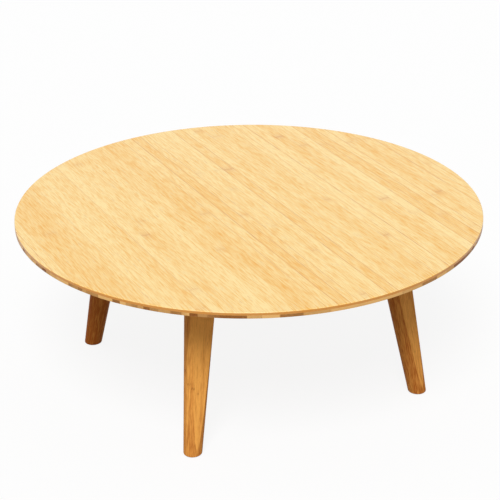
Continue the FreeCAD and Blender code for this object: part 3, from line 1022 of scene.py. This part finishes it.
class TABLE_OT_legs(bpy.types.Operator):
    """Builds the four turned legs, each with its long flat, its narrow head and its pin hole"""

    bl_idname = "folding_table.legs"
    bl_label = "Legs"

    def execute(self, context):
        s, c = context.scene.leg_sizes, context.scene.table_colours
        under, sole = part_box("back_ply")[0].z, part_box("foot_pad_front_left")[1].z
        # The legs' look adds the painted light and shade that each leg's mesh holds
        look = bamboo_look(
            c, "leg", order=(0, 1, 2), strip=s.strip, seed=5.0,
            layer=1 / 14, fibre=1.7, fibre_length=22.0, fleck_strength=0.6,
            ring=4.5, ring_strength=0.5, line=0.5, line_strength=0.5,
            strip_tone=0.5, fibre_tone=1.9, tone=-1.05, own_tone=True,
            roughness=0.6, coat=0.0, level=0.1,
        )
        material = laminated_bamboo("Bamboo, steamed brown leg", look, "grain_place")
        for number, (corner, sides) in enumerate(corners.items()):
            joint = next(j for j in frame["joints"] if j["name"] == "fold_" + corner)
            leg = leg_frame(s, joint, *sides, under)
            points, faces = closed_rings(*leg_rings(s, leg, sole, under))
            points = points @ leg.turn + leg.origin
            name, body, node = (k + corner for k in ("leg_skin_", "folding_leg_", "leg_"))
            piece = write_mesh(name, points, faces, body, "bamboo_leg", node)
            reach = np.array([cutter_reach * s.head_width, 0, 0]) @ leg.turn
            cut_round(piece, s.pin_radius, leg.origin - reach, leg.origin + reach)
            mark_wood_and_painted_light(piece.data, s, leg, corner, number)
            piece.data.materials.append(material)
            smooth(piece, degrees=10)
        return {"FINISHED"}


class TABLE_OT_brackets(bpy.types.Operator):
    """Finishes the screwed brackets and the moving channels in zinc-plated sheet steel"""

    bl_idname = "folding_table.brackets"
    bl_label = "Brackets and channels"

    def execute(self, context):
        zinc = tuple(context.scene.table_colours.zinc)
        plate = rolled_steel(
            "Steel, zinc-plated plate", zinc, roughness=0.34, grain=(0.8, 14.0, 0.8), seed=1.0
        )
        channel = rolled_steel(
            "Steel, zinc-plated channel", zinc, roughness=0.3, grain=(0.8, 0.8, 12.0), seed=5.0
        )
        dress(plate, *at_corners("bracket_base"))
        dress(channel, *at_corners("leg_channel"))
        return {"FINISHED"}


class TABLE_OT_latches(bpy.types.Operator):
    """Finishes the latch springs in blued spring steel and their rivets in bright steel"""

    bl_idname = "folding_table.latches"
    bl_label = "Latches"

    def execute(self, context):
        c = context.scene.table_colours
        blued, brown, zinc = tuple(c.spring), tuple(c.spring_tint), tuple(c.zinc)
        spring = rolled_steel(
            "Steel, blued spring", blued, roughness=0.3, grain=(0.6, 0.6, 9.0), seed=2.0
        )
        tinted_plating(spring, brown, patch=5.0)
        dress(spring, *at_corners("latch_springs"))
        rivet = rolled_steel(
            "Steel, rivet", zinc, roughness=0.26, grain=(0.7, 0.7, 0.7), seed=3.0
        )
        dress(rivet, *at_corners("latch_rivets"))
        return {"FINISHED"}


class TABLE_OT_pivots(bpy.types.Operator):
    """Finishes the pivot pins in turned steel and their washers in nylon"""

    bl_idname = "folding_table.pivots"
    bl_label = "Pivots"

    def execute(self, context):
        c = context.scene.table_colours
        pin = rolled_steel(
            "Steel, turned pin", tuple(c.zinc), roughness=0.22, grain=(6.0, 0.5, 0.5), seed=4.0
        )
        dress(pin, *at_corners("pivot_pin"))
        nylon = turned_nylon("Nylon, turned washer", tuple(c.nylon))
        dress(nylon, *at_corners("pivot_washers"))
        return {"FINISHED"}


class TABLE_OT_screws(bpy.types.Operator):
    """Finishes the countersunk wood screws in yellow zinc"""

    bl_idname = "folding_table.screws"
    bl_label = "Screws"

    def execute(self, context):
        c = context.scene.table_colours
        yellow, green = tuple(c.brass_zinc), tuple(c.brass_zinc_tint)
        screw = rolled_steel(
            "Steel, yellow zinc screw", yellow, roughness=0.3, grain=(0.9, 0.9, 0.9), seed=6.0
        )
        tinted_plating(screw, green, patch=2.5)
        dress(screw, *at_corners("base_screws", "channel_screws"))
        dress(screw, "batten_screws_front", "batten_screws_back")
        return {"FINISHED"}


class TABLE_OT_foot_pads(bpy.types.Operator):
    """Finishes the pads under the feet in felt"""

    bl_idname = "folding_table.foot_pads"
    bl_label = "Foot pads"

    def execute(self, context):
        felt = pressed_felt("Wool felt, pressed", tuple(context.scene.table_colours.felt))
        dress(felt, *at_corners("foot_pad"))
        return {"FINISHED"}


class TABLE_OT_stage(bpy.types.Operator):
    """Sets the floor, the light and the camera at the view of the picture"""

    bl_idname = "folding_table.stage"
    bl_label = "Stage"

    def execute(self, context):
        s = context.scene.stage_settings
        lay_floor(s)
        light_room(context.scene, s)
        place_camera(context.scene, s)
        context.scene.view_settings.view_transform = "Standard"
        return {"FINISHED"}


class TABLE_PT_pieces(bpy.types.Panel):
    """Lists the operators, then the settings they read"""

    bl_idname = "TABLE_PT_pieces"
    bl_label = "Folding low table"
    bl_space_type = "VIEW_3D"
    bl_region_type = "UI"
    bl_category = "Table"

    def draw(self, context):
        for operator in operators:
            self.layout.operator(operator.bl_idname)
        for group in groups:
            settings = getattr(context.scene, group)
            for key in settings.bl_rna.properties.keys():
                if key not in ("rna_type", "name"):
                    self.layout.prop(settings, key)


groups = {
    "top_sizes": TopSizes,
    "leg_sizes": LegSizes,
    "table_colours": Colours,
    "stage_settings": StageSettings,
}
operators = (
    TABLE_OT_plies,
    TABLE_OT_battens,
    TABLE_OT_legs,
    TABLE_OT_brackets,
    TABLE_OT_latches,
    TABLE_OT_pivots,
    TABLE_OT_screws,
    TABLE_OT_foot_pads,
    TABLE_OT_stage,
)


def register():
    """Registers the settings, the operators and the panel."""
    for item in (*groups.values(), *operators, TABLE_PT_pieces):
        bpy.utils.register_class(item)
    for name, group in groups.items():
        setattr(bpy.types.Scene, name, bpy.props.PointerProperty(type=group))


def unregister():
    """Takes away what register added."""
    for name in groups:
        delattr(bpy.types.Scene, name)
    for item in reversed((*groups.values(), *operators, TABLE_PT_pieces)):
        bpy.utils.unregister_class(item)


def main():
    register()
    bpy.ops.folding_table.plies()
    bpy.ops.folding_table.battens()
    bpy.ops.folding_table.legs()
    bpy.ops.folding_table.brackets()
    bpy.ops.folding_table.latches()
    bpy.ops.folding_table.pivots()
    bpy.ops.folding_table.screws()
    bpy.ops.folding_table.foot_pads()
    bpy.ops.folding_table.stage()


if __name__ == "__main__":
    main()
